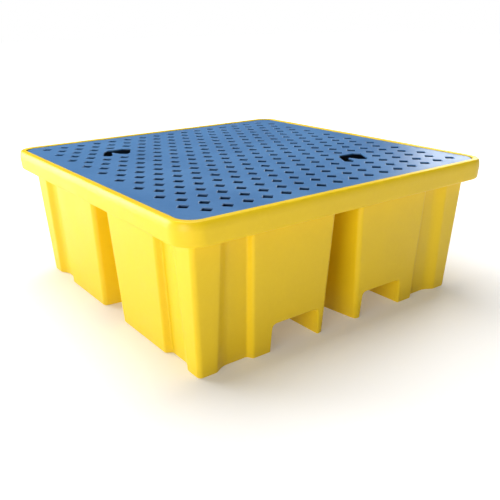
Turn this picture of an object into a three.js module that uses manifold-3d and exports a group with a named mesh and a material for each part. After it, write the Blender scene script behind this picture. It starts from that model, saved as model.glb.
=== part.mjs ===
// Spill containment pallet for four drums: a one-piece moulded polyethylene sump with two fork
// tunnels under it, a perforated deck that drops into the rim and lifts out, and loose support
// posts that stand on the sump floor and carry the middle of the deck.
// Millimetres, +Z up. The origin is on the floor, under the middle of the pallet.

import * as THREE from "three";
import { mergeVertices } from "three/addons/utils/BufferGeometryUtils.js";
import Module from "manifold-3d";

const wasm = await Module();
wasm.setup();

// ---- Driving dimensions -------------------------------------------------------------------

const HEIGHT = 514; // floor to the top of the rim
const WALL = 7; // moulded wall of the sump
const GAP = 0.3; // left between pieces that rest on each other

// Rim: a band all round that overhangs the body and holds the deck. Widths are half widths.
const RIM_HALF = 655;
const RIM_RADIUS = 80; // plan radius of its corners
const RIM_DEPTH = 73;
const RIM_BOTTOM = HEIGHT - RIM_DEPTH;
const RIM_DRAFT = 3; // the band leans in this much at its lower edge
const RIM_LOWER_ROUND = 8;
const RIM_TOP_ROUND = 10; // height of the rolled upper edge
const RIM_LIP = 18; // flat left on top of the roll
const OPENING_HALF = 628; // the deck drops in here

// Body under the rim. Each side is two panels with a recessed strip outside each, a column at
// each corner, and a deep notch in the middle. A pair is the size at the floor and at the rim.
const BODY_HALF = [573, 597];
const BODY_RADIUS = 16;
const RECESS_DEPTH = 21;
const COLUMN_EDGE = [508, 498];
const COLUMN_ROOT = [474, 466];
const PANEL_ROOT = [384, 393];
const PANEL_EDGE = [372, 385];
const NOTCH_HALF = [77, 54];
const NOTCH_BACK_HALF = [56, 36];
const NOTCH_DEPTH = [182, 171];

// Fork tunnels, which run right through from front to back and are open to the floor.
const TUNNEL_INNER = 102;
const TUNNEL_OUTER = 302;
const TUNNEL_HEIGHT = 97;
const TUNNEL_RADIUS = 16;
const TUNNEL_DRAFT = 5; // each side wall leans in this much

// Support posts, cut from pipe, each over a spigot on the sump floor.
const POST_RADIUS = 55;
const POST_WALL = 5;
const POST_ACROSS = 425;
const POST_ALONG = 300;
const SPIGOT_HEIGHT = 14;
const SPIGOT_CLEARANCE = 2;

// Deck: a skin with diamond drain holes in staggered rows, a skirt, and ribs between the rows.
const DECK_HALF = 624.5;
const DECK_RADIUS = 50;
const DECK_TOP = HEIGHT - 2.5; // a little below the top of the rim
const DECK_SKIN = 6;
const DECK_WALL = 6;
const DECK_RIB = 5;
const HOLE_ROWS = 18;
const HOLES_PER_ROW = 16;
const HOLE_PITCH = 71.3; // along a row
const ROW_PITCH = 65.6;
const HOLE_REACH = 21.5; // middle of a hole to each of its four points
// Middles of the two hand holes, one at the back left and one at the front right.
const GRIP_ACROSS = [-5 * HOLE_PITCH, 4 * HOLE_PITCH];
const GRIP_ROW = [13, 3]; // the lower of the two rows that each hand hole joins

// ---- Shape helpers ------------------------------------------------------------------------

const mix = ([low, high], share) => low + (high - low) * share;

// A closed three.js geometry as a solid that can be joined and cut.
function solid(geometry) {
  const bare = geometry.clone();
  bare.deleteAttribute("normal");
  bare.deleteAttribute("uv");
  const merged = mergeVertices(bare, 1e-4);
  return new wasm.Manifold(
    new wasm.Mesh({
      numProp: 3,
      vertProperties: new Float32Array(merged.attributes.position.array),
      triVerts: new Uint32Array(merged.index.array),
    }),
  );
}

// The solid back as a flat-shaded geometry.
function geometryOf(body) {
  const mesh = body.getMesh();
  const geometry = new THREE.BufferGeometry();
  geometry.setAttribute("position", new THREE.BufferAttribute(new Float32Array(mesh.vertProperties), 3));
  geometry.setIndex(new THREE.BufferAttribute(new Uint32Array(mesh.triVerts), 1));
  const flat = geometry.toNonIndexed();
  flat.computeVertexNormals();
  return flat;
}

function box(x0, x1, y0, y1, z0, z1) {
  const geometry = new THREE.BoxGeometry(x1 - x0, y1 - y0, z1 - z0);
  geometry.translate((x0 + x1) / 2, (y0 + y1) / 2, (z0 + z1) / 2);
  return solid(geometry);
}

// Outlines are lists of Vector2 that run anticlockwise seen from above.
function extruded(outline, z0, z1) {
  const geometry = new THREE.ExtrudeGeometry(new THREE.Shape(outline), { depth: z1 - z0, bevelEnabled: false });
  geometry.translate(0, 0, z0);
  return solid(geometry);
}

// A solid through outlines with the same number of points, each at its own height.
function loft(levels) {
  const count = levels[0].outline.length;
  const positions = levels.flatMap(({ outline, z }) => outline.flatMap((p) => [p.x, p.y, z]));
  const index = [];
  for (let level = 0; level + 1 < levels.length; level += 1) {
    for (let i = 0; i < count; i += 1) {
      const a = level * count + i;
      const b = level * count + ((i + 1) % count);
      index.push(a, b, b + count, a, b + count, a + count);
    }
  }
  const top = (levels.length - 1) * count;
  for (const [i, j, k] of THREE.ShapeUtils.triangulateShape(levels[0].outline, [])) index.push(k, j, i);
  for (const [i, j, k] of THREE.ShapeUtils.triangulateShape(levels.at(-1).outline, [])) {
    index.push(top + i, top + j, top + k);
  }
  const geometry = new THREE.BufferGeometry();
  geometry.setAttribute("position", new THREE.Float32BufferAttribute(positions, 3));
  geometry.setIndex(index);
  return solid(geometry);
}

// The corner at the low X, low Y end of a side, as an arc.
function cornerArc(half, radius, steps) {
  return Array.from({ length: steps + 1 }, (_, i) => {
    const angle = Math.PI + (Math.PI / 2) * (i / steps);
    return new THREE.Vector2(radius - half + radius * Math.cos(angle), radius - half + radius * Math.sin(angle));
  });
}

// A side's points, repeated on the four sides.
function fourSides(side) {
  const middle = new THREE.Vector2();
  return [0, 1, 2, 3].flatMap((turn) => side.map((p) => p.clone().rotateAround(middle, (turn * Math.PI) / 2)));
}

const roundedSquare = (half, radius, steps = 6) => fourSides(cornerArc(half, radius, steps));

// The outline moved inwards by a wall thickness, with its corners kept sharp.
function inset(outline, distance) {
  const count = outline.length;
  return outline.map((point, i) => {
    const before = point.clone().sub(outline[(i + count - 1) % count]).normalize();
    const after = outline[(i + 1) % count].clone().sub(point).normalize();
    const inwards = new THREE.Vector2(-before.y - after.y, before.x + after.x).normalize();
    const spread = Math.max(0.35, inwards.dot(new THREE.Vector2(-after.y, after.x)));
    return point.clone().addScaledVector(inwards, distance / spread);
  });
}

// ---- Sump ---------------------------------------------------------------------------------

// Outside of the body in plan, at a share of the way up from the floor to the rim.
function bodyOutline(share) {
  const half = mix(BODY_HALF, share);
  const onSide = (along, depth) => new THREE.Vector2(along, depth - half);
  const left = [
    onSide(-mix(COLUMN_EDGE, share), 0),
    onSide(-mix(COLUMN_ROOT, share), RECESS_DEPTH),
    onSide(-mix(PANEL_ROOT, share), RECESS_DEPTH),
    onSide(-mix(PANEL_EDGE, share), 0),
    onSide(-mix(NOTCH_HALF, share), 0),
    onSide(-mix(NOTCH_BACK_HALF, share), mix(NOTCH_DEPTH, share)),
  ];
  const right = left.map((p) => new THREE.Vector2(-p.x, p.y)).reverse();
  return fourSides([...cornerArc(half, BODY_RADIUS, 3), ...left, ...right]);
}

// The tunnel's section, grown all round by a margin, run along Y past both ends of the body.
function tunnel(side, margin) {
  const low = TUNNEL_INNER - margin;
  const high = TUNNEL_OUTER + margin;
  const top = TUNNEL_HEIGHT + margin;
  const radius = TUNNEL_RADIUS + margin;
  const lean = TUNNEL_DRAFT;
  const section = new THREE.Shape();
  section.moveTo(low, -WALL);
  section.lineTo(high, -WALL);
  section.lineTo(high - lean, top - radius);
  section.quadraticCurveTo(high - lean, top, high - lean - radius, top);
  section.lineTo(low + lean + radius, top);
  section.quadraticCurveTo(low + lean, top, low + lean, top - radius);
  section.closePath();
  const length = 2 * RIM_HALF;
  const geometry = new THREE.ExtrudeGeometry(section, { depth: length, bevelEnabled: false, curveSegments: 4 });
  geometry.rotateX(Math.PI / 2);
  geometry.translate(0, length / 2, 0);
  const run = solid(geometry);
  return side > 0 ? run : run.mirror([1, 0, 0]);
}

function rimBand() {
  const level = (half, z) => ({ outline: roundedSquare(half, RIM_RADIUS - (RIM_HALF - half)), z });
  const lower = RIM_HALF - RIM_DRAFT;
  const lip = RIM_HALF - OPENING_HALF - RIM_LIP;
  const quarter = [0, 1, 2, 3].map((i) => (Math.PI / 2) * (i / 3));
  const underEdge = quarter.map((angle) =>
    level(lower - RIM_LOWER_ROUND * (1 - Math.sin(angle)), RIM_BOTTOM + RIM_LOWER_ROUND * (1 - Math.cos(angle))),
  );
  const roll = quarter.map((angle) =>
    level(RIM_HALF - lip * (1 - Math.cos(angle)), HEIGHT - RIM_TOP_ROUND * (1 - Math.sin(angle))),
  );
  return loft([...underEdge, ...roll]);
}

function postPlaces() {
  const middle = [-POST_ALONG, 0, POST_ALONG].map((y) => [0, y]);
  const outer = [-POST_ACROSS, POST_ACROSS].flatMap((x) => [-POST_ALONG, POST_ALONG].map((y) => [x, y]));
  return [...middle, ...outer];
}

function sump() {
  const floor = { outline: bodyOutline(0), z: 0 };
  const underRim = { outline: bodyOutline(1), z: RIM_BOTTOM };
  const ledge = RIM_BOTTOM + WALL;
  // The inside follows the outside at the wall's thickness, and opens out above the ledge.
  const inside = loft([
    { outline: inset(bodyOutline(WALL / RIM_BOTTOM), WALL), z: WALL },
    { outline: inset(bodyOutline(1), WALL), z: ledge + 1 },
  ]);
  const basin = inside.subtract(tunnel(1, WALL)).subtract(tunnel(-1, WALL));
  const opening = extruded(roundedSquare(OPENING_HALF, RIM_RADIUS - (RIM_HALF - OPENING_HALF)), ledge, HEIGHT + 1);
  let body = loft([floor, underRim]).add(rimBand());
  body = body.subtract(tunnel(1, 0)).subtract(tunnel(-1, 0)).subtract(basin).subtract(opening);
  const spigotRadius = POST_RADIUS - POST_WALL - SPIGOT_CLEARANCE;
  for (const [x, y] of postPlaces()) {
    const spigot = new THREE.CylinderGeometry(spigotRadius - 2, spigotRadius, SPIGOT_HEIGHT, 16);
    spigot.rotateX(Math.PI / 2);
    spigot.translate(x, y, WALL + SPIGOT_HEIGHT / 2 - 1);
    body = body.add(solid(spigot));
  }
  return body;
}

// ---- Posts --------------------------------------------------------------------------------

function post() {
  const low = WALL + GAP;
  const high = RIM_BOTTOM + WALL;
  const profile = [
    new THREE.Vector2(POST_RADIUS - POST_WALL, low),
    new THREE.Vector2(POST_RADIUS, low),
    new THREE.Vector2(POST_RADIUS, high),
    new THREE.Vector2(POST_RADIUS - POST_WALL, high),
    new THREE.Vector2(POST_RADIUS - POST_WALL, low),
  ];
  const geometry = new THREE.LatheGeometry(profile, 24);
  geometry.rotateX(Math.PI / 2);
  return solid(geometry);
}

// ---- Deck ---------------------------------------------------------------------------------

const rowY = (row) => (row - (HOLE_ROWS - 1) / 2) * ROW_PITCH;

// Even rows are shifted to the right by a quarter of the pitch, and odd rows to the left.
const holeX = (row, place) => (place - (HOLES_PER_ROW - 1) / 2 + (row % 2 ? -0.25 : 0.25)) * HOLE_PITCH;

function diamond(x, y) {
  const r = HOLE_REACH;
  return [
    new THREE.Vector2(x, y - r),
    new THREE.Vector2(x + r, y),
    new THREE.Vector2(x, y + r),
    new THREE.Vector2(x - r, y),
  ];
}

// A hand hole joins four drain holes and leaves a pointed tongue between the lower two.
function handHole(x, row) {
  const y = (rowY(row) + rowY(row + 1)) / 2;
  const r = HOLE_REACH;
  const near = HOLE_PITCH / 4;
  const far = HOLE_PITCH * 0.75;
  const up = ROW_PITCH / 2;
  const at = (dx, dy) => new THREE.Vector2(x + dx, y + dy);
  return [
    at(-far - r, -up),
    at(-far, -up - r),
    at(-far + r, -up),
    at(-near, up - r),
    at(near - r, -up),
    at(near, -up - r),
    at(near + r, -up),
    at(far + r, up),
    at(far, up + r),
    at(-near, up + r),
    at(-near - r, up),
  ];
}

function inHandHole(x, row) {
  return GRIP_ROW.some((low, i) => (row === low || row === low + 1) && Math.abs(x - GRIP_ACROSS[i]) < HOLE_PITCH);
}

function deck() {
  const bottom = RIM_BOTTOM + WALL + GAP;
  const skinBottom = DECK_TOP - DECK_SKIN;
  const outer = roundedSquare(DECK_HALF, DECK_RADIUS);
  const within = roundedSquare(DECK_HALF - DECK_WALL, DECK_RADIUS - DECK_WALL);
  const skin = new THREE.Shape(outer);
  const grips = GRIP_ROW.map((row, i) => handHole(GRIP_ACROSS[i], row));
  for (const grip of grips) skin.holes.push(new THREE.Path(grip));
  for (let row = 0; row < HOLE_ROWS; row += 1) {
    for (let place = 0; place < HOLES_PER_ROW; place += 1) {
      const x = holeX(row, place);
      if (!inHandHole(x, row)) skin.holes.push(new THREE.Path(diamond(x, rowY(row))));
    }
  }
  const plate = new THREE.ExtrudeGeometry(skin, { depth: DECK_SKIN, bevelEnabled: false });
  plate.translate(0, 0, skinBottom);
  const overlap = 1;
  const skirt = extruded(outer, bottom, skinBottom + overlap).subtract(extruded(within, bottom - 1, HEIGHT));
  let body = solid(plate).add(skirt);
  // One rib outside the first row, between each two rows, and outside the last.
  for (let rib = 0; rib <= HOLE_ROWS; rib += 1) {
    const y = rowY(rib) - ROW_PITCH / 2;
    const end = DECK_HALF - DECK_WALL / 2;
    let bar = box(-end, end, y - DECK_RIB / 2, y + DECK_RIB / 2, bottom, skinBottom + overlap);
    GRIP_ROW.forEach((row, i) => {
      if (rib !== row + 1) return;
      const clear = HOLE_PITCH + HOLE_REACH;
      bar = bar.subtract(box(GRIP_ACROSS[i] - clear, GRIP_ACROSS[i] + clear, y - DECK_RIB, y + DECK_RIB, 0, HEIGHT));
    });
    body = body.add(bar);
  }
  return body;
}

// ---- Assembly -----------------------------------------------------------------------------

const yellow = new THREE.MeshStandardMaterial({ color: 0xf2d230, roughness: 0.5, metalness: 0 });
const blue = new THREE.MeshStandardMaterial({ color: 0x2f6fc4, roughness: 0.55, metalness: 0 });
const grey = new THREE.MeshStandardMaterial({ color: 0x4a4d50, roughness: 0.6, metalness: 0 });

const pallet = new THREE.Group();

function piece(name, body, material, x = 0, y = 0) {
  const mesh = new THREE.Mesh(geometryOf(body), material);
  mesh.name = name;
  mesh.position.set(x, y, 0);
  pallet.add(mesh);
}

piece("sump", sump(), yellow);
piece("deck_grid", deck(), blue);
postPlaces().forEach(([x, y], i) => piece(`support_post_${i + 1}`, post(), grey, x, y));

export default pallet;
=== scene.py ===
# %% [markdown]
# # Spill containment pallet
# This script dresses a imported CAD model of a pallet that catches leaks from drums. The real
# thing is a deep yellow tub moulded in one piece, a blue grid that drops into its rim, and loose
# posts under the grid. The CAD model is the frame: it fixes every size and every movement. The
# script adds what the CAD leaves out, which is rounded edges, surface finish, light and a camera.

# %% Load the frame
import math

import bmesh
import bpy
from mathutils import Matrix, Vector


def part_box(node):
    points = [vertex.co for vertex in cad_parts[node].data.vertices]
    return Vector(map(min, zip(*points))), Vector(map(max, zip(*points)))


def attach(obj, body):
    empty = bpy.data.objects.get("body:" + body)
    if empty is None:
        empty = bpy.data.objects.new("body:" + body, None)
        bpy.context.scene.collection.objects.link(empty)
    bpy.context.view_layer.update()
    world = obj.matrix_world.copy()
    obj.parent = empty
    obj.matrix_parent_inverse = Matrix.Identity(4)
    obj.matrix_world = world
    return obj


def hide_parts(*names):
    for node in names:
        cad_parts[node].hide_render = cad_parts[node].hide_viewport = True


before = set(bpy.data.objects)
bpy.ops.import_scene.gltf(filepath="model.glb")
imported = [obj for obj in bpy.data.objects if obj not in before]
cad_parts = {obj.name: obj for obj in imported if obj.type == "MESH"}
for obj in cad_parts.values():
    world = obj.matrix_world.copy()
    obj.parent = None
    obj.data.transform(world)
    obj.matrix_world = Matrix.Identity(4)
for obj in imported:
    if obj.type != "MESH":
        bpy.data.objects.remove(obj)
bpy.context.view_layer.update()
_, SUMP_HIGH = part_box("sump")
DECK_LOW, DECK_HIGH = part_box("deck_grid")
posts = sorted(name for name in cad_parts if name.startswith("support_post_"))
print("posts", len(posts))

# %% [markdown]
# ## Sizes
# The frame gives the outside size of each node. The sizes inside a node, such as how deep a
# notch is, are repeated here in metres. A pair is a size at the floor and the same size under
# the rim, because the walls of a moulded tub lean a little so that it comes out of its mould.

# %% Sizes of the tub
HEIGHT = SUMP_HIGH.z
RIM_HALF = SUMP_HIGH.x
WALL = 0.007
RIM_RADIUS = 0.080
RIM_DEPTH = 0.073
RIM_BOTTOM = HEIGHT - RIM_DEPTH
RIM_DRAFT = 0.003
RIM_LOWER_ROUND = 0.008
RIM_TOP_ROUND = 0.028
RIM_ROLL = 0.009
OPENING_HALF = 0.628
OPENING_ROUND = 0.003
LEDGE = RIM_BOTTOM + WALL
BODY_HALF = (0.573, 0.597)
RECESS_DEPTH = 0.021
COLUMN_EDGE = (0.508, 0.498)
COLUMN_ROOT = (0.474, 0.466)
PANEL_ROOT = (0.384, 0.393)
PANEL_EDGE = (0.372, 0.385)
NOTCH_HALF = (0.077, 0.054)
NOTCH_BACK_HALF = (0.056, 0.036)
NOTCH_DEPTH = (0.182, 0.171)
TUNNEL_INNER = 0.102
TUNNEL_OUTER = 0.302
TUNNEL_HEIGHT = 0.097
TUNNEL_RADIUS = 0.016
TUNNEL_DRAFT = 0.005
print("rim from", round(RIM_BOTTOM, 4), "to", round(HEIGHT, 4))

# %% [markdown]
# ## Rounded outlines
# A hot mould leaves no sharp edge: the powder melts and flows round every corner. A bevel
# modifier could round the finished tub, but it fails where three rounded edges meet a cut. Here
# the roundness is in the outlines instead. Each corner of an outline carries its own radius, and
# one function turns the corners into points, moved inwards where a thinner outline is wanted.

# %% From corners to a rounded outline
SMALLEST_RADIUS = 0.0006


def rounded(corners, inwards=0.0, steps=5):
    """Points of an anticlockwise outline whose corners are (x, y, radius)."""
    points = []
    for i, (x, y, radius) in enumerate(corners):
        here = Vector((x, y))
        following = corners[(i + 1) % len(corners)]
        before = (here - Vector(corners[i - 1][:2])).normalized()
        after = (Vector(following[:2]) - here).normalized()
        turn = math.atan2(before.cross(after), before.dot(after))
        sign = 1 if turn > 0 else -1
        middle = Vector((-before.y - after.y, before.x + after.x)).normalized()
        corner = here + middle * (inwards / math.cos(turn / 2))
        radius = max(radius - inwards * sign, SMALLEST_RADIUS)
        start = corner - before * (radius * math.tan(abs(turn) / 2))
        centre = start + Vector((-before.y, before.x)) * (radius * sign)
        for step in range(steps + 1):
            arm = (start - centre).copy()
            arm.rotate(Matrix.Rotation(turn * step / steps, 2))
            points.append(centre + arm)
    return points


def four_sides(side):
    """Repeats one side's corners on all four sides."""
    corners = []
    for quarter in range(4):
        turn = Matrix.Rotation(quarter * math.pi / 2, 2)
        for x, y, radius in side:
            spot = turn @ Vector((x, y))
            corners.append((spot.x, spot.y, radius))
    return corners


def rounded_square(half, radius, steps=12):
    return rounded(four_sides([(-half, -half, radius)]), 0.0, steps)


print("a rim outline has", len(rounded_square(RIM_HALF, RIM_RADIUS)), "points")

# %% [markdown]
# ## Lofts
# A tub is a stack of outlines, each at its own height, joined by strips of faces. This is the
# boat builder's loft. Outlines with the same number of points make it simple, and closing the
# first and the last one gives a solid that other solids can be cut from.

# %% A solid through a stack of outlines
def loft(levels):
    """A closed mesh through (outline, height) levels."""
    shape = bmesh.new()
    rings = [[shape.verts.new((p.x, p.y, z)) for p in outline] for outline, z in levels]
    for low, high in zip(rings, rings[1:]):
        for i in range(len(low)):
            j = (i + 1) % len(low)
            shape.faces.new((low[i], low[j], high[j], high[i]))
    shape.faces.new(list(reversed(rings[0])))
    shape.faces.new(rings[-1])
    mesh = bpy.data.meshes.new("loft")
    shape.to_mesh(mesh)
    shape.free()
    return mesh


def combine(mesh, others, operation):
    """Joins other closed meshes to a mesh, or cuts them from it, one after another."""
    subject = bpy.data.objects.new("subject", mesh)
    bpy.context.scene.collection.objects.link(subject)
    tools = []
    for other in others:
        tool = bpy.data.objects.new("tool", other)
        bpy.context.scene.collection.objects.link(tool)
        step = subject.modifiers.new("combine", "BOOLEAN")
        step.operation = operation
        step.solver = "MANIFOLD"
        step.object = tool
        tools.append(tool)
    bpy.context.view_layer.update()
    finished = bpy.data.meshes.new_from_object(
        subject.evaluated_get(bpy.context.evaluated_depsgraph_get())
    )
    for leftover in [subject, *tools]:
        bpy.data.objects.remove(leftover)
    return finished


def quarter(steps):
    """Angles from 0 to a right angle."""
    return [math.pi / 2 * step / steps for step in range(steps + 1)]


# %% [markdown]
# ## Outside of the tub
# Each side has a column at both ends, a recessed strip inside each column, and two panels with a
# deep notch between them. These are the folds that make a thin plastic wall stiff. The same list
# of corners is used at every height, with sizes blended from the floor to the rim.

# %% Body outline at a height
CORNER_RADIUS = 0.016
COLUMN_EDGE_RADIUS = 0.024
COLUMN_ROOT_RADIUS = 0.060
PANEL_ROOT_RADIUS = 0.008
PANEL_EDGE_RADIUS = 0.012
MOUTH_RADIUS = 0.018
NOTCH_ROOT_RADIUS = 0.022


def blend(pair, z):
    return pair[0] + (pair[1] - pair[0]) * z / RIM_BOTTOM


def body_corners(z):
    half = blend(BODY_HALF, z)
    left = [
        (-blend(COLUMN_EDGE, z), 0, COLUMN_EDGE_RADIUS),
        (-blend(COLUMN_ROOT, z), RECESS_DEPTH, COLUMN_ROOT_RADIUS),
        (-blend(PANEL_ROOT, z), RECESS_DEPTH, PANEL_ROOT_RADIUS),
        (-blend(PANEL_EDGE, z), 0, PANEL_EDGE_RADIUS),
        (-blend(NOTCH_HALF, z), 0, MOUTH_RADIUS),
        (-blend(NOTCH_BACK_HALF, z), blend(NOTCH_DEPTH, z), NOTCH_ROOT_RADIUS),
    ]
    right = [(-x, depth, radius) for x, depth, radius in reversed(left)]
    side = [(-half, -half, CORNER_RADIUS)]
    side += [(x, depth - half, radius) for x, depth, radius in left + right]
    return four_sides(side)


def body_level(z, inwards):
    return rounded(body_corners(z), inwards), z


# %% Body, from the floor to the rim
FOOT_ROUND = 0.006
COVE = 0.007
WALL_LEVELS = 8


def body_solid():
    foot = [
        body_level(FOOT_ROUND * (1 - math.cos(a)), FOOT_ROUND * (1 - math.sin(a)))
        for a in quarter(4)
    ]
    straight = RIM_BOTTOM - COVE
    walls = [
        body_level(FOOT_ROUND + (straight - FOOT_ROUND) * i / WALL_LEVELS, 0.0)
        for i in range(1, WALL_LEVELS)
    ]
    cove = [
        body_level(straight + COVE * math.sin(a), -COVE * (1 - math.cos(a)))
        for a in quarter(4)
    ]
    outline, _ = cove[-1]
    return loft([*foot, *walls, *cove, (outline, RIM_BOTTOM + WALL / 2)])


body = body_solid()
print("body", len(body.polygons), "faces")

# %% [markdown]
# ## Rim
# The rim is a deep band that overhangs the body all round. Its outer face leans in a little at
# the bottom, and its top edge is a tall, narrow roll. The roll catches the light, so it gets
# enough steps to look like a curve rather than a set of flats.

# %% Rim band
def rim_level(half, z):
    return rounded_square(half, RIM_RADIUS - (RIM_HALF - half)), z


def rim_solid():
    lower = RIM_HALF - RIM_DRAFT
    under_edge = [
        rim_level(
            lower - RIM_LOWER_ROUND * (1 - math.sin(a)),
            RIM_BOTTOM + RIM_LOWER_ROUND * (1 - math.cos(a)),
        )
        for a in quarter(4)
    ]
    roll = [
        rim_level(
            RIM_HALF - RIM_ROLL * (1 - math.cos(a)),
            HEIGHT - RIM_TOP_ROUND * (1 - math.sin(a)),
        )
        for a in quarter(8)
    ]
    return loft(under_edge + roll)


def opening_cutter():
    """What the deck drops into, with a small round at its upper edge."""
    half = OPENING_HALF
    radius = RIM_RADIUS - (RIM_HALF - half)
    levels = [(rounded_square(half, radius), LEDGE)]
    for a in quarter(3):
        out = OPENING_ROUND * (1 - math.cos(a))
        z = HEIGHT - OPENING_ROUND * (1 - math.sin(a))
        levels.append((rounded_square(half + out, radius + out), z))
    outline, _ = levels[-1]
    levels.append((outline, HEIGHT + WALL))
    return loft(levels)


# %% [markdown]
# ## Fork tunnels
# Two tunnels run under the tub for the forks of a lift truck. Their mouths are flared, and so are
# their lower edges, so that a fork slides in without catching. The tunnel is made as a solid and
# cut away. Its rings follow the leaning face of the body, which keeps the flare even all round.

# %% A tunnel as a solid
MOUTH_FLARE = 0.007
SILL_FLARE = 0.004


def tunnel_section(margin, flare):
    """Half-open outline of the tunnel, from one lower edge over the roof to the other."""
    low = TUNNEL_INNER - margin - flare
    high = TUNNEL_OUTER + margin + flare
    top = TUNNEL_HEIGHT + margin + flare
    radius = TUNNEL_RADIUS + margin + flare
    lean = TUNNEL_DRAFT
    wall = []
    for a in quarter(4):
        wall.append((-SILL_FLARE * (1 - math.sin(a)), SILL_FLARE * (1 - math.cos(a))))
    section = [(low + wall[0][0], -WALL)]
    section += [(low + out, z) for out, z in wall]
    arc = quarter(6)
    section += [
        (low + lean + radius * (1 - math.cos(a)), top - radius * (1 - math.sin(a)))
        for a in arc
    ]
    section += [
        (high - lean - radius * (1 - math.sin(a)), top - radius * (1 - math.cos(a)))
        for a in arc
    ]
    section += [(high - out, z) for out, z in reversed(wall)]
    section += [(high - wall[0][0], -WALL)]
    return section


def face_of_body(z):
    return blend(BODY_HALF, max(z, 0.0))


def tunnel_solid(side, margin):
    """One tunnel. side is -1 on the left and 1 on the right."""
    stations = [(-WALL, MOUTH_FLARE)]
    stations += [
        (MOUTH_FLARE * (1 - math.cos(a)), MOUTH_FLARE * (1 - math.sin(a)))
        for a in quarter(5)
    ]
    shape = bmesh.new()
    rings = []
    for end in (-1, 1):
        ordered = stations if end < 0 else list(reversed(stations))
        for depth, flare in ordered:
            ring = []
            for x, z in tunnel_section(margin, flare):
                y = end * (face_of_body(z) - depth)
                ring.append(shape.verts.new((side * x, y, z)))
            rings.append(ring)
    for near, far in zip(rings, rings[1:]):
        for i in range(len(near)):
            j = (i + 1) % len(near)
            shape.faces.new((near[i], near[j], far[j], far[i]))
    shape.faces.new(rings[0])
    shape.faces.new(rings[-1])
    bmesh.ops.recalc_face_normals(shape, faces=shape.faces)
    mesh = bpy.data.meshes.new("tunnel")
    shape.to_mesh(mesh)
    shape.free()
    return mesh


# %% [markdown]
# ## Inside of the tub
# The inside follows the outside at the thickness of the wall, so every notch shows inside as a
# ridge, and each tunnel as a long hump across the floor. It is made as a solid, the shape of the
# liquid in a full tub, and then cut away.

# %% The space inside
FLOOR_COVE = 0.010
LEDGE_ROUND = 0.003


def basin_solid():
    floor = [
        body_level(
            WALL + FLOOR_COVE * (1 - math.cos(a)),
            WALL + FLOOR_COVE * (1 - math.sin(a)),
        )
        for a in quarter(4)
    ]
    top = LEDGE - LEDGE_ROUND
    base = WALL + FLOOR_COVE
    walls = [
        body_level(base + (top - base) * i / WALL_LEVELS, WALL)
        for i in range(1, WALL_LEVELS)
    ]
    lip = []
    for a in quarter(3):
        inwards = WALL - LEDGE_ROUND * (1 - math.cos(a))
        outline, _ = body_level(RIM_BOTTOM, inwards)
        lip.append((outline, top + LEDGE_ROUND * math.sin(a)))
    outline, _ = lip[-1]
    return loft([*floor, *walls, *lip, (outline, LEDGE + WALL)])


def cone(x, y, low, high, z0, z1, top_round, sides=32):
    """A spigot: a short cone with a rounded top."""
    levels = [(low, z0)]
    levels += [
        (high - top_round * (1 - math.cos(a)), z1 - top_round * (1 - math.sin(a)))
        for a in quarter(3)
    ]
    stack = []
    for radius, z in levels:
        ring = [
            Vector((x + radius * math.cos(t), y + radius * math.sin(t)))
            for t in (2 * math.pi * i / sides for i in range(sides))
        ]
        stack.append((ring, z))
    return loft(stack)


# %% Cut and join the tub
SPIGOT_LOW = 0.048
SPIGOT_HIGH = 0.046
SPIGOT_TOP = 0.020
SPIGOT_ROUND = 0.003


def sump_mesh():
    tunnels = [tunnel_solid(side, 0.0) for side in (-1, 1)]
    humps = [tunnel_solid(side, WALL) for side in (-1, 1)]
    basin = combine(basin_solid(), humps, "DIFFERENCE")
    outside = combine(body, [rim_solid()], "UNION")
    shell = combine(outside, [*tunnels, basin, opening_cutter()], "DIFFERENCE")
    spigots = []
    for name in posts:
        low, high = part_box(name)
        spot = (low + high) / 2
        spigots.append(
            cone(spot.x, spot.y, SPIGOT_LOW, SPIGOT_HIGH, WALL / 2, SPIGOT_TOP, SPIGOT_ROUND)
        )
    return combine(shell, spigots, "UNION")


shell = sump_mesh()
print("tub", len(shell.vertices), "points", len(shell.polygons), "faces")

# %% [markdown]
# ## Smooth and sharp
# Faces that meet gently should look like one curve, and faces that meet at a clear angle should
# not. The sharp edges are found by angle. A weighted normal modifier then makes the large flat
# faces win over the narrow rounded ones, so a flat wall stays flat right up to its round.

# %% Finish a mesh into a piece
SHARP_ANGLE = math.radians(32)
MERGE_DISTANCE = 1e-5


def tidy(mesh):
    shape = bmesh.new()
    shape.from_mesh(mesh)
    bmesh.ops.remove_doubles(shape, verts=shape.verts, dist=MERGE_DISTANCE)
    bmesh.ops.dissolve_degenerate(shape, dist=MERGE_DISTANCE, edges=shape.edges)
    bmesh.ops.recalc_face_normals(shape, faces=shape.faces)
    loose = [edge for edge in shape.edges if not edge.is_manifold]
    shape.to_mesh(mesh)
    shape.free()
    return len(loose)


def piece(name, mesh, material, body_name, nodes):
    """Makes a finished piece that stands for CAD nodes, rides on a body and wears a material."""
    open_edges = tidy(mesh)
    mesh.name = name
    mesh.materials.clear()
    mesh.materials.append(material)
    for face in mesh.polygons:
        face.use_smooth = True
        face.material_index = 0
    mesh.set_sharp_from_angle(angle=SHARP_ANGLE)
    made = bpy.data.objects.new(name, mesh)
    bpy.context.scene.collection.objects.link(made)
    weighted = made.modifiers.new("even shading", "WEIGHTED_NORMAL")
    weighted.keep_sharp = True
    weighted.weight = 50
    flat = bpy.data.meshes.new_from_object(
        made.evaluated_get(bpy.context.evaluated_depsgraph_get())
    )
    made.modifiers.clear()
    made.data = flat
    flat.name = name
    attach(made, body_name)
    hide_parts(*nodes)
    print(name, len(flat.polygons), "faces,", open_edges, "open edges")


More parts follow.
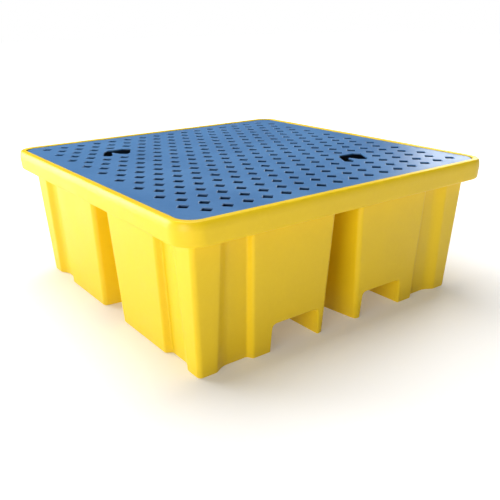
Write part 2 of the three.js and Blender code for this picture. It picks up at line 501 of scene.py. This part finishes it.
# %% [markdown]
# ## Plastic finishes
# Moulded polyethylene is never one flat colour. Pigment settles unevenly in broad clouds, the
# skin is slightly pebbled where it cooled against the mould, and scuffs build up in patches and
# near the floor. The grid is painted darker below its top face: this is painted shade for its
# holes and the space under its skin. One function builds such a finish from noise at several
# sizes, all in Object coordinates, so the patterns stay on the piece when it moves.

# %% Node helpers
def new_material(name):
    material = bpy.data.materials.new(name)
    material.use_nodes = True
    material.node_tree.nodes.clear()
    return material, material.node_tree


def wire(tree, kind, inputs=(), **settings):
    """A node with its settings made and its inputs set or linked."""
    node = tree.nodes.new(kind)
    for key, value in settings.items():
        setattr(node, key, value)
    for key, value in dict(inputs).items():
        if isinstance(value, bpy.types.NodeSocket):
            tree.links.new(value, node.inputs[key])
        else:
            node.inputs[key].default_value = value
    return node


def pattern(tree, place, size, detail=3.0, roughness=0.5, distortion=0.0):
    """Noise whose blobs are about size metres across."""
    return wire(
        tree,
        "ShaderNodeTexNoise",
        {
            "Vector": place,
            "Scale": 1.0 / size,
            "Detail": detail,
            "Roughness": roughness,
            "Distortion": distortion,
        },
    ).outputs["Fac"]


def stretch(tree, value, low, high, to_low, to_high):
    """Maps a range of values onto another, and holds it at the ends."""
    return wire(
        tree,
        "ShaderNodeMapRange",
        {
            "Value": value,
            "From Min": low,
            "From Max": high,
            "To Min": to_low,
            "To Max": to_high,
        },
    ).outputs["Result"]


def calc(tree, operation, a, b=0.0):
    return wire(tree, "ShaderNodeMath", {0: a, 1: b}, operation=operation).outputs[0]


def tint(tree, share, a, b):
    """Mixes two colours, each a colour or the output of a node."""
    return wire(
        tree,
        "ShaderNodeMix",
        {"Factor": share, 6: a, 7: b},
        data_type="RGBA",
        blend_type="MIX",
    ).outputs[2]


def rgba(r, g, b):
    return (r, g, b, 1.0)


# %% Moulded plastic
CLOUD_SIZE = 0.22
MOTTLE_SIZE = 0.012
PORE_SIZE = 0.0035
RUB_SIZE = 0.09
GRIT_SIZE = 0.03
WAVE_SIZE = 0.11
WAVE_HEIGHT = 0.0012
WORN_FOOT = 0.05
SCUFF_ROUGHNESS = 0.25
# Painted shade: the deck's colour darkens towards a near black below its top face, for the shade
# in its holes and under its skin. A strip along the outer skirt is left unshaded.
SHADE_START, SHADE_END, PAINTED_SHADE = 0.002, 0.010, 0.85
SHADE_COLOUR = (0.012, 0.014, 0.018, 1.0)
UNSHADED_SKIRT = (0.003, 0.008)


def moulded_plastic(
    name, base, light, dark, scuff, rough, pebble, wear, foot_wear=0.0, shine=0.5, painted_shade_box=None
):
    """base, light, dark and scuff are colours; pebble is the height of the skin in metres.

    The last argument is the top corner of a perforated piece. Below its top face the colour is
    painted darker, as painted shade for its holes and the space under its skin.
    """
    material, tree = new_material(name)
    place = wire(tree, "ShaderNodeTexCoord").outputs["Object"]
    clouds = pattern(tree, place, CLOUD_SIZE)
    mottle = pattern(tree, place, MOTTLE_SIZE, 4.0, 0.6)
    pores = pattern(tree, place, PORE_SIZE, 2.0)
    rub = pattern(tree, place, RUB_SIZE, 8.0, 0.72, 0.6)
    colour = tint(tree, stretch(tree, clouds, 0.35, 0.65, 0.0, 1.0), dark, base)
    colour = tint(tree, stretch(tree, mottle, 0.45, 0.75, 0.0, 0.35), colour, light)
    scuffs = stretch(tree, rub, 0.60, 0.74, 0.0, wear)
    if foot_wear:
        height = wire(tree, "ShaderNodeSeparateXYZ", {"Vector": place}).outputs["Z"]
        near_floor = stretch(tree, height, 0.0, WORN_FOOT, foot_wear, 0.0)
        grit = pattern(tree, place, GRIT_SIZE, 8.0, 0.7)
        grit = stretch(tree, grit, 0.42, 0.62, 0.0, 1.0)
        scuffs = calc(tree, "MAXIMUM", scuffs, calc(tree, "MULTIPLY", near_floor, grit))
    colour = tint(tree, scuffs, colour, scuff)
    # Painted shade: darker below the top face, except near the outer skirt.
    if painted_shade_box is not None:
        spot = wire(tree, "ShaderNodeSeparateXYZ", {"Vector": place}).outputs
        depth = calc(tree, "SUBTRACT", painted_shade_box.z, spot["Z"])
        painted_shade = stretch(tree, depth, SHADE_START, SHADE_END, 0.0, PAINTED_SHADE)
        across = calc(tree, "ABSOLUTE", spot["X"])
        along = calc(tree, "ABSOLUTE", spot["Y"])
        to_edge = calc(tree, "SUBTRACT", painted_shade_box.x, calc(tree, "MAXIMUM", across, along))
        inside = stretch(tree, to_edge, UNSHADED_SKIRT[0], UNSHADED_SKIRT[1], 0.0, 1.0)
        painted_shade = calc(tree, "MULTIPLY", painted_shade, inside)
        colour = tint(tree, painted_shade, colour, SHADE_COLOUR)
    gloss = stretch(tree, clouds, 0.3, 0.7, rough - 0.04, rough + 0.05)
    gloss = calc(tree, "ADD", gloss, calc(tree, "MULTIPLY", scuffs, SCUFF_ROUGHNESS))
    waves = wire(
        tree,
        "ShaderNodeBump",
        {
            "Strength": 1.0,
            "Distance": WAVE_HEIGHT,
            "Height": pattern(tree, place, WAVE_SIZE, 1.0),
        },
    ).outputs["Normal"]
    skin = calc(tree, "ADD", pores, calc(tree, "MULTIPLY", mottle, 0.8))
    bump = wire(
        tree,
        "ShaderNodeBump",
        {"Strength": 1.0, "Distance": pebble, "Height": skin, "Normal": waves},
    ).outputs["Normal"]
    shader = wire(
        tree,
        "ShaderNodeBsdfPrincipled",
        {
            "Base Color": colour,
            "Roughness": gloss,
            "Normal": bump,
            "IOR": 1.5,
            "Specular IOR Level": shine,
        },
    )
    output = wire(tree, "ShaderNodeOutputMaterial")
    tree.links.new(shader.outputs["BSDF"], output.inputs["Surface"])
    print("finish", name, len(tree.nodes), "nodes")
    return material


yellow = moulded_plastic(
    "yellow_polyethylene",
    base=rgba(0.84, 0.575, 0.007),
    light=rgba(0.87, 0.61, 0.012),
    dark=rgba(0.81, 0.55, 0.006),
    scuff=rgba(0.70, 0.50, 0.06),
    rough=0.42,
    pebble=0.00012,
    wear=0.10,
    foot_wear=0.35,
    shine=0.35,
)
# The blue grid carries painted shade below its top face.
blue = moulded_plastic(
    "blue_polyethylene",
    base=rgba(0.062, 0.190, 0.410),
    light=rgba(0.085, 0.225, 0.460),
    dark=rgba(0.050, 0.165, 0.375),
    scuff=rgba(0.12, 0.22, 0.36),
    rough=0.40,
    pebble=0.00012,
    wear=0.30,
    painted_shade_box=DECK_HIGH,
)
grey = moulded_plastic(
    "grey_pipe",
    base=rgba(0.075, 0.080, 0.085),
    light=rgba(0.10, 0.105, 0.11),
    dark=rgba(0.060, 0.064, 0.068),
    scuff=rgba(0.20, 0.20, 0.20),
    rough=0.38,
    pebble=0.00004,
    wear=0.15,
)

# %% The tub becomes a piece
piece("sump_shell", shell, yellow, "pallet", ["sump"])

# %% [markdown]
# ## Geometry Nodes for what repeats
# The deck has nearly three hundred drain holes in staggered rows, and ribs under it. Nobody models
# those one by one. A Geometry Nodes tree holds the rule, and its named inputs hold the sizes, so
# another deck needs only other numbers. The next helpers build a tree and run it on an object.

# %% Helpers for node trees
def new_tree(name, sizes):
    """A tree with a geometry input, one input for each named size, and a material."""
    tree = bpy.data.node_groups.new(name, "GeometryNodeTree")
    face = tree.interface
    face.new_socket("Geometry", in_out="INPUT", socket_type="NodeSocketGeometry")
    for key, value in sizes.items():
        kind = "NodeSocketInt" if isinstance(value, int) else "NodeSocketFloat"
        face.new_socket(key, in_out="INPUT", socket_type=kind)
    face.new_socket("Material", in_out="INPUT", socket_type="NodeSocketMaterial")
    face.new_socket("Geometry", in_out="OUTPUT", socket_type="NodeSocketGeometry")
    return tree, tree.nodes.new("NodeGroupInput")


def close_tree(tree, given, geometry):
    """Ends a tree with Realize Instances and Set Material."""
    real = wire(tree, "GeometryNodeRealizeInstances", {"Geometry": geometry})
    dressed = wire(
        tree,
        "GeometryNodeSetMaterial",
        {"Geometry": real.outputs[0], "Material": given.outputs["Material"]},
    )
    end = tree.nodes.new("NodeGroupOutput")
    tree.links.new(dressed.outputs[0], end.inputs[0])


def run_tree(tree, sizes, material, mesh=None):
    """Runs a tree on a mesh and returns what it makes, as a plain mesh."""
    host = bpy.data.objects.new("host", mesh or bpy.data.meshes.new("host"))
    modifier = host.modifiers.new(tree.name, "NODES")
    modifier.node_group = tree
    for item in tree.interface.items_tree:
        if item.in_out == "INPUT" and item.name in sizes:
            modifier[item.identifier] = sizes[item.name]
        if item.in_out == "INPUT" and item.name == "Material":
            modifier[item.identifier] = material
    bpy.context.scene.collection.objects.link(host)
    bpy.context.view_layer.update()
    made = bpy.data.meshes.new_from_object(
        host.evaluated_get(bpy.context.evaluated_depsgraph_get())
    )
    bpy.data.objects.remove(host)
    print(tree.name, "made", len(made.polygons), "faces")
    return made


def vector_node(tree, x=0.0, y=0.0, z=0.0):
    return wire(tree, "ShaderNodeCombineXYZ", {0: x, 1: y, 2: z}).outputs[0]


def joined(tree, parts):
    node = tree.nodes.new("GeometryNodeJoinGeometry")
    for part in reversed(parts):
        tree.links.new(part, node.inputs[0])
    return node.outputs[0]


# %% [markdown]
# ## Profiles
# A rounded edge is a profile swept along an outline. Curve to Mesh does the sweeping. On a flat
# outline that runs anticlockwise, the profile's first axis points out of the outline and its
# second axis points down. So an arc and a line are enough to draw the wall of a drain hole.

# %% Arcs and lines for a profile
def arc(tree, x, y, radius, start, sweep, points=4):
    curve = wire(
        tree,
        "GeometryNodeCurveArc",
        {
            "Resolution": points,
            "Radius": radius,
            "Start Angle": math.radians(start),
            "Sweep Angle": math.radians(sweep),
        },
    )
    spot = vector_node(tree, x, y)
    return wire(
        tree,
        "GeometryNodeTransform",
        {"Geometry": curve.outputs[0], "Translation": spot},
    ).outputs[0]


def line(tree, x0, y0, x1, y1):
    return wire(
        tree,
        "GeometryNodeCurvePrimitiveLine",
        {"Start": vector_node(tree, x0, y0), "End": vector_node(tree, x1, y1)},
    ).outputs[0]


def upright(tree, curve):
    """Curve normals that lie flat, so that a profile doesn't twist."""
    return wire(
        tree, "GeometryNodeSetCurveNormal", {"Curve": curve}, mode="Z_UP"
    ).outputs[0]


def sweep(tree, curve, profile, caps=False):
    return wire(
        tree,
        "GeometryNodeCurveToMesh",
        {"Curve": curve, "Profile Curve": profile, "Fill Caps": caps},
    ).outputs[0]


def pushed(tree, curve, distance):
    """Moves the points of a flat curve outwards, just as a swept profile does."""
    normal = tree.nodes.new("GeometryNodeInputNormal").outputs[0]
    offset = wire(
        tree, "ShaderNodeVectorMath", {0: normal, "Scale": distance}, operation="SCALE"
    ).outputs[0]
    return wire(
        tree, "GeometryNodeSetPosition", {"Geometry": curve, "Offset": offset}
    ).outputs[0]


def filled(tree, curves, height):
    flat = wire(tree, "GeometryNodeFillCurve", {"Curve": curves}, mode="TRIANGLES")
    return wire(
        tree,
        "GeometryNodeTransform",
        {"Geometry": flat.outputs[0], "Translation": vector_node(tree, z=height)},
    ).outputs[0]


# %% [markdown]
# ## Deck skin
# A mesh grid gives one point for each drain hole. Rows are pushed a quarter of the pitch left
# and right in turn, which staggers them. Each point gets a diamond with softened corners. The two
# hand holes come in as outlines on the object's own mesh, and points near them are dropped.

# %% Deck sizes
DECK = {
    "Half Width": DECK_HIGH.x,
    "Corner Radius": 0.050,
    "Rows": 18,
    "Holes per Row": 16,
    "Row Pitch": 0.0656,
    "Hole Pitch": 0.0713,
    "Hole Reach": 0.0215,
    "Hole Corner": 0.0025,
    "Lip": 0.0022,
    "Edge Round": 0.004,
    "Skin": 0.006,
    "Skirt": DECK_HIGH.z - DECK_LOW.z,
    "Skirt Wall": 0.006,
}
SKIRT_FOOT = 0.0015


# %% Drain holes as curves
def hole_curves(tree, given):
    pitch, row_pitch = given["Hole Pitch"], given["Row Pitch"]
    across = calc(tree, "SUBTRACT", given["Holes per Row"], 1.0)
    along = calc(tree, "SUBTRACT", given["Rows"], 1.0)
    grid = wire(
        tree,
        "GeometryNodeMeshGrid",
        {
            "Size X": calc(tree, "MULTIPLY", across, pitch),
            "Size Y": calc(tree, "MULTIPLY", along, row_pitch),
            "Vertices X": given["Holes per Row"],
            "Vertices Y": given["Rows"],
        },
    ).outputs[0]
    position = tree.nodes.new("GeometryNodeInputPosition").outputs[0]
    y = wire(tree, "ShaderNodeSeparateXYZ", {0: position}).outputs["Y"]
    half_rows = calc(tree, "DIVIDE", along, 2.0)
    row = calc(tree, "ADD", calc(tree, "DIVIDE", y, row_pitch), half_rows)
    odd = calc(tree, "MODULO", calc(tree, "ROUND", row), 2.0)
    side_step = calc(tree, "SUBTRACT", 0.25, calc(tree, "DIVIDE", odd, 2.0))
    shift = vector_node(tree, x=calc(tree, "MULTIPLY", side_step, pitch))
    staggered = wire(
        tree, "GeometryNodeSetPosition", {"Geometry": grid, "Offset": shift}
    ).outputs[0]
    near = wire(
        tree,
        "GeometryNodeProximity",
        {"Geometry": given["Geometry"]},
        target_element="EDGES",
    ).outputs["Distance"]
    taken = calc(tree, "LESS_THAN", near, given["Hole Reach"])
    free = wire(
        tree,
        "GeometryNodeDeleteGeometry",
        {"Geometry": staggered, "Selection": taken},
        domain="POINT",
    ).outputs[0]
    diamond = wire(
        tree,
        "GeometryNodeCurvePrimitiveQuadrilateral",
        {
            "Width": calc(tree, "MULTIPLY", given["Hole Reach"], 2.0),
            "Bottom Height": given["Hole Reach"],
            "Top Height": given["Hole Reach"],
        },
        mode="KITE",
    ).outputs[0]
    soft = softened(tree, diamond, given["Hole Corner"], 2)
    holes = wire(
        tree, "GeometryNodeInstanceOnPoints", {"Points": free, "Instance": soft}
    ).outputs[0]
    return wire(tree, "GeometryNodeRealizeInstances", {"Geometry": holes}).outputs[0]


def softened(tree, curve, radius, count):
    return wire(
        tree,
        "GeometryNodeFilletCurve",
        {"Curve": curve, "Radius": radius, "Count": count, "Limit Radius": True},
        mode="POLY",
    ).outputs[0]


# %% Skin, lips and skirt
def deck_tree():
    tree, start = new_tree("perforated deck", DECK)
    given = {socket.name: socket for socket in start.outputs if socket.name}
    grips = wire(tree, "GeometryNodeMeshToCurve", {"Mesh": given["Geometry"]}).outputs[0]
    grips = softened(tree, grips, given["Hole Corner"], 2)
    holes = upright(tree, joined(tree, [hole_curves(tree, given), grips]))
    side = calc(tree, "MULTIPLY", given["Half Width"], 2.0)
    square = wire(
        tree,
        "GeometryNodeCurvePrimitiveQuadrilateral",
        {"Width": side, "Height": side},
        mode="RECTANGLE",
    ).outputs[0]
    outline = upright(tree, softened(tree, square, given["Corner Radius"], 10))
    lip, edge = given["Lip"], given["Edge Round"]
    skin, depth, wall = given["Skin"], given["Skirt"], given["Skirt Wall"]
    hole_wall = joined(
        tree, [arc(tree, lip, lip, lip, 270, -90, 4), line(tree, 0.0, lip, 0.0, skin)]
    )
    back_edge = calc(tree, "MULTIPLY", edge, -1.0)
    back_wall = calc(tree, "MULTIPLY", wall, -1.0)
    foot = SKIRT_FOOT
    low = calc(tree, "SUBTRACT", depth, foot)
    inner = calc(tree, "ADD", back_wall, foot)
    skirt = joined(
        tree,
        [
            arc(tree, back_edge, edge, edge, 270, 90, 6),
            line(tree, 0.0, edge, 0.0, low),
            arc(tree, -foot, low, foot, 0, 90, 3),
            line(tree, -foot, depth, inner, depth),
            arc(tree, inner, low, foot, 90, 90, 3),
            line(tree, back_wall, low, back_wall, skin),
        ],
    )
    top = filled(
        tree,
        joined(tree, [pushed(tree, outline, back_edge), pushed(tree, holes, lip)]),
        0.0,
    )
    under = filled(
        tree,
        joined(tree, [pushed(tree, outline, back_wall), holes]),
        calc(tree, "MULTIPLY", skin, -1.0),
    )
    parts = [top, under, sweep(tree, holes, hole_wall), sweep(tree, outline, skirt)]
    merged = wire(
        tree,
        "GeometryNodeMergeByDistance",
        {"Geometry": joined(tree, parts), "Distance": MERGE_DISTANCE},
    ).outputs[0]
    close_tree(tree, start, merged)
    return tree


# %% [markdown]
# ## Hand holes
# Two hand holes are joined from four drain holes each, with a pointed tongue left between the
# lower two. Their outline is a closed chain of edges.

# %% Hand hole outlines
GRIPS = [(-5 * DECK["Hole Pitch"], 13), (4 * DECK["Hole Pitch"], 3)]


def row_place(row):
    return (row - (DECK["Rows"] - 1) / 2) * DECK["Row Pitch"]


def grip_outline(x, row):
    y = (row_place(row) + row_place(row + 1)) / 2
    reach = DECK["Hole Reach"]
    near = DECK["Hole Pitch"] / 4
    far = 3 * near
    up = DECK["Row Pitch"] / 2
    steps = [
        (-far - reach, -up),
        (-far, -up - reach),
        (-far + reach, -up),
        (-near, up - reach),
        (near - reach, -up),
        (near, -up - reach),
        (near + reach, -up),
        (far + reach, up),
        (far, up + reach),
        (-near, up + reach),
        (-near - reach, up),
    ]
    return [Vector((x + dx, y + dy, 0.0)) for dx, dy in steps]


def edge_mesh(name, chains, closed):
    """A mesh of loose edges through each chain of points."""
    points, edges = [], []
    for chain in chains:
        first = len(points)
        points += [tuple(p) for p in chain]
        edges += [(first + i, first + i + 1) for i in range(len(chain) - 1)]
        if closed:
            edges.append((len(points) - 1, first))
    mesh = bpy.data.meshes.new(name)
    mesh.from_pydata(points, edges, [])
    return mesh


grips = edge_mesh("grips", [grip_outline(x, row) for x, row in GRIPS], closed=True)
skin = run_tree(deck_tree(), DECK, blue, grips)

# %% [markdown]
# ## Ribs
# The ribs stand on edge under the skin, one between each two rows of holes, and one outside the
# first and last rows. They stop short of the hand holes, to leave room for fingers. Each is a
# line of edges that a tree turns into a tapered bar with rounded edges.

# %% Rib lines and tree
RIB_OVERLAP = 0.001
RIB = {
    "Thickness": 0.005,
    "Taper": 0.0012,
    "Height": DECK["Skirt"] - DECK["Skin"] + RIB_OVERLAP,
    "Round": 0.0009,
}
RIB_INTO_SKIRT = 0.0025
RIB_END = DECK_HIGH.x - DECK["Skirt Wall"] + RIB_INTO_SKIRT
RIB_CLEARANCE = DECK["Hole Pitch"] + DECK["Hole Reach"]


def rib_lines():
    z = RIB_OVERLAP - DECK["Skin"] - RIB["Height"] / 2
    chains = []
    for rib in range(DECK["Rows"] + 1):
        y = row_place(rib) - DECK["Row Pitch"] / 2
        stops = [-RIB_END, RIB_END]
        for x, row in GRIPS:
            if rib == row + 1:
                stops[1:1] = [x - RIB_CLEARANCE, x + RIB_CLEARANCE]
        for start, end in zip(stops[::2], stops[1::2]):
            chains.append([(start, y, z), (end, y, z)])
    return chains


def rib_tree():
    tree, start = new_tree("ribs", RIB)
    given = {socket.name: socket for socket in start.outputs if socket.name}
    lines = wire(tree, "GeometryNodeMeshToCurve", {"Mesh": given["Geometry"]}).outputs[0]
    narrow = calc(tree, "SUBTRACT", given["Thickness"], given["Taper"])
    section = wire(
        tree,
        "GeometryNodeCurvePrimitiveQuadrilateral",
        {
            "Height": given["Height"],
            "Bottom Width": given["Thickness"],
            "Top Width": narrow,
            "Offset": 0.0,
        },
        mode="TRAPEZOID",
    ).outputs[0]
    section = softened(tree, section, given["Round"], 2)
    bars = sweep(tree, upright(tree, lines), section, caps=True)
    merged = wire(
        tree,
        "GeometryNodeMergeByDistance",
        {"Geometry": bars, "Distance": MERGE_DISTANCE},
    ).outputs[0]
    close_tree(tree, start, merged)
    return tree


ribs = run_tree(rib_tree(), RIB, blue, edge_mesh("rib lines", rib_lines(), closed=False))

# %% Deck: skin and ribs in one moulding
def oriented(mesh):
    tidy(mesh)
    return mesh


deck_mesh = combine(oriented(skin), [oriented(ribs)], "UNION")
deck_mesh.transform(Matrix.Translation((0, 0, DECK_HIGH.z)))
piece("deck_grating", deck_mesh, blue, "deck", ["deck_grid"])

# %% [markdown]
# ## Support posts
# The posts are lengths of heavy pipe, sawn square and chamfered. One tree makes them all: a
# small rounded rectangle, the section of the pipe wall, is swept round a circle.

# %% Posts
post_low, post_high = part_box(posts[0])
POST = {
    "Radius": (post_high.x - post_low.x) / 2,
    "Wall": 0.005,
    "Height": post_high.z - post_low.z,
    "Chamfer": 0.0015,
}


def post_tree():
    tree, start = new_tree("pipe post", POST)
    given = {socket.name: socket for socket in start.outputs if socket.name}
    half_wall = calc(tree, "DIVIDE", given["Wall"], 2.0)
    circle = wire(
        tree,
        "GeometryNodeCurvePrimitiveCircle",
        {"Resolution": 56, "Radius": calc(tree, "SUBTRACT", given["Radius"], half_wall)},
    ).outputs[0]
    section = wire(
        tree,
        "GeometryNodeCurvePrimitiveQuadrilateral",
        {"Width": given["Wall"], "Height": given["Height"]},
        mode="RECTANGLE",
    ).outputs[0]
    section = softened(tree, section, given["Chamfer"], 1)
    close_tree(tree, start, sweep(tree, upright(tree, circle), section))
    return tree


pipe = post_tree()
for name in posts:
    low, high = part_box(name)
    post_mesh = run_tree(pipe, POST, grey)
    post_mesh.transform(Matrix.Translation((low + high) / 2))
    piece(name.replace("support", "pipe"), post_mesh, grey, "pallet", [name])

# %% [markdown]
# ## Floor, light and camera
# The pallet stands on a white floor in a white room. A tall window behind on the left makes the
# left side bright and leaves the front in soft shade, and a lower one in front on the left is
# aimed at the lower part of the tub. A ceiling panel lights the deck, and a panel far off on the
# right gives it a pale sheen. The floor glows a little, and more with distance, so that it meets
# the white foot of the room.

# %% Floor and room
FLOOR_SIZE = 60.0
GLOW_START, GLOW_END = 1.2, 4.0
NEAR_GLOW, FAR_GLOW = 0.22, 1.2


def studio_floor():
    shape = bmesh.new()
    bmesh.ops.create_grid(shape, x_segments=8, y_segments=8, size=FLOOR_SIZE / 2)
    mesh = bpy.data.meshes.new("studio_floor")
    shape.to_mesh(mesh)
    shape.free()
    material, tree = new_material("studio_white")
    place = wire(tree, "ShaderNodeTexCoord").outputs["Object"]
    tone = stretch(tree, pattern(tree, place, 1.5), 0.3, 0.7, 0.80, 0.82)
    white = wire(
        tree,
        "ShaderNodeCombineColor",
        {"Red": tone, "Green": tone, "Blue": tone},
    ).outputs[0]
    distance = wire(
        tree, "ShaderNodeVectorMath", {0: place}, operation="LENGTH"
    ).outputs["Value"]
    glow = stretch(tree, distance, GLOW_START, GLOW_END, NEAR_GLOW, FAR_GLOW)
    shader = wire(
        tree,
        "ShaderNodeBsdfPrincipled",
        {
            "Base Color": white,
            "Roughness": 0.9,
            "Emission Color": white,
            "Emission Strength": glow,
        },
    )
    output = wire(tree, "ShaderNodeOutputMaterial")
    tree.links.new(shader.outputs["BSDF"], output.inputs["Surface"])
    mesh.materials.append(material)
    floor = bpy.data.objects.new("studio_floor", mesh)
    bpy.context.scene.collection.objects.link(floor)


SKIRTING, WALL_TOP = 0.04, 0.10
UPPER_ROOM = 0.06


def white_room(strength):
    """A room that is white low down, behind the floor, and dimmer above."""
    world = bpy.data.worlds.new("white_room")
    bpy.context.scene.world = world
    world.use_nodes = True
    tree = world.node_tree
    background = tree.nodes["Background"]
    background.inputs["Color"].default_value = rgba(1.0, 1.0, 1.0)
    direction = wire(tree, "ShaderNodeTexCoord").outputs["Generated"]
    height = wire(tree, "ShaderNodeSeparateXYZ", {"Vector": direction}).outputs["Z"]
    level = stretch(tree, height, SKIRTING, WALL_TOP, 1.0, strength)
    tree.links.new(level, background.inputs["Strength"])


studio_floor()
white_room(UPPER_ROOM)


# %% Lamps
def panel_lamp(name, place, target, width, height, power):
    data = bpy.data.lights.new(name, "AREA")
    data.shape = "RECTANGLE"
    data.size = width
    data.size_y = height
    data.energy = power
    lamp = bpy.data.objects.new(name, data)
    bpy.context.scene.collection.objects.link(lamp)
    lamp.location = place
    aim = Vector(target) - Vector(place)
    lamp.rotation_euler = aim.to_track_quat("-Z", "Y").to_euler()


panel_lamp("tall_window", (-3.4, 4.4, 1.5), (0, 0, 0.4), 3.0, 3.0, 235)
panel_lamp("side_window", (-3.6, -2.0, 0.9), (0, -0.5, 0.2), 2.0, 1.6, 62)
panel_lamp("ceiling", (0.0, 0.9, 5.0), (0, 0, 0.4), 4.0, 4.0, 300)
panel_lamp("right_sheen", (6.8, 2.8, 1.8), (0.3, 0, 0.5), 2.6, 2.6, 150)

# %% Camera
LENS = 45.675
SENSOR = 36.0
EYE = Vector((-1.42146, -1.96834, 1.00382))
YAW, PITCH, ROLL = math.radians(36.70), math.radians(20.12), math.radians(-0.625)


def studio_camera():
    ahead = Vector(
        (
            math.cos(PITCH) * math.sin(YAW),
            math.cos(PITCH) * math.cos(YAW),
            -math.sin(PITCH),
        )
    )
    level = Vector((math.cos(YAW), -math.sin(YAW), 0.0))
    up = level.cross(ahead)
    right = level * math.cos(ROLL) + up * math.sin(ROLL)
    top = up * math.cos(ROLL) - level * math.sin(ROLL)
    data = bpy.data.cameras.new("studio_camera")
    data.lens = LENS
    data.sensor_width = SENSOR
    data.clip_end = 200.0
    camera = bpy.data.objects.new("studio_camera", data)
    bpy.context.scene.collection.objects.link(camera)
    turn = Matrix((right, top, -ahead)).transposed().to_4x4()
    camera.matrix_world = Matrix.Translation(EYE) @ turn
    bpy.context.scene.camera = camera


studio_camera()
bpy.context.scene.view_settings.view_transform = "Standard"
bpy.context.scene.view_settings.look = "None"
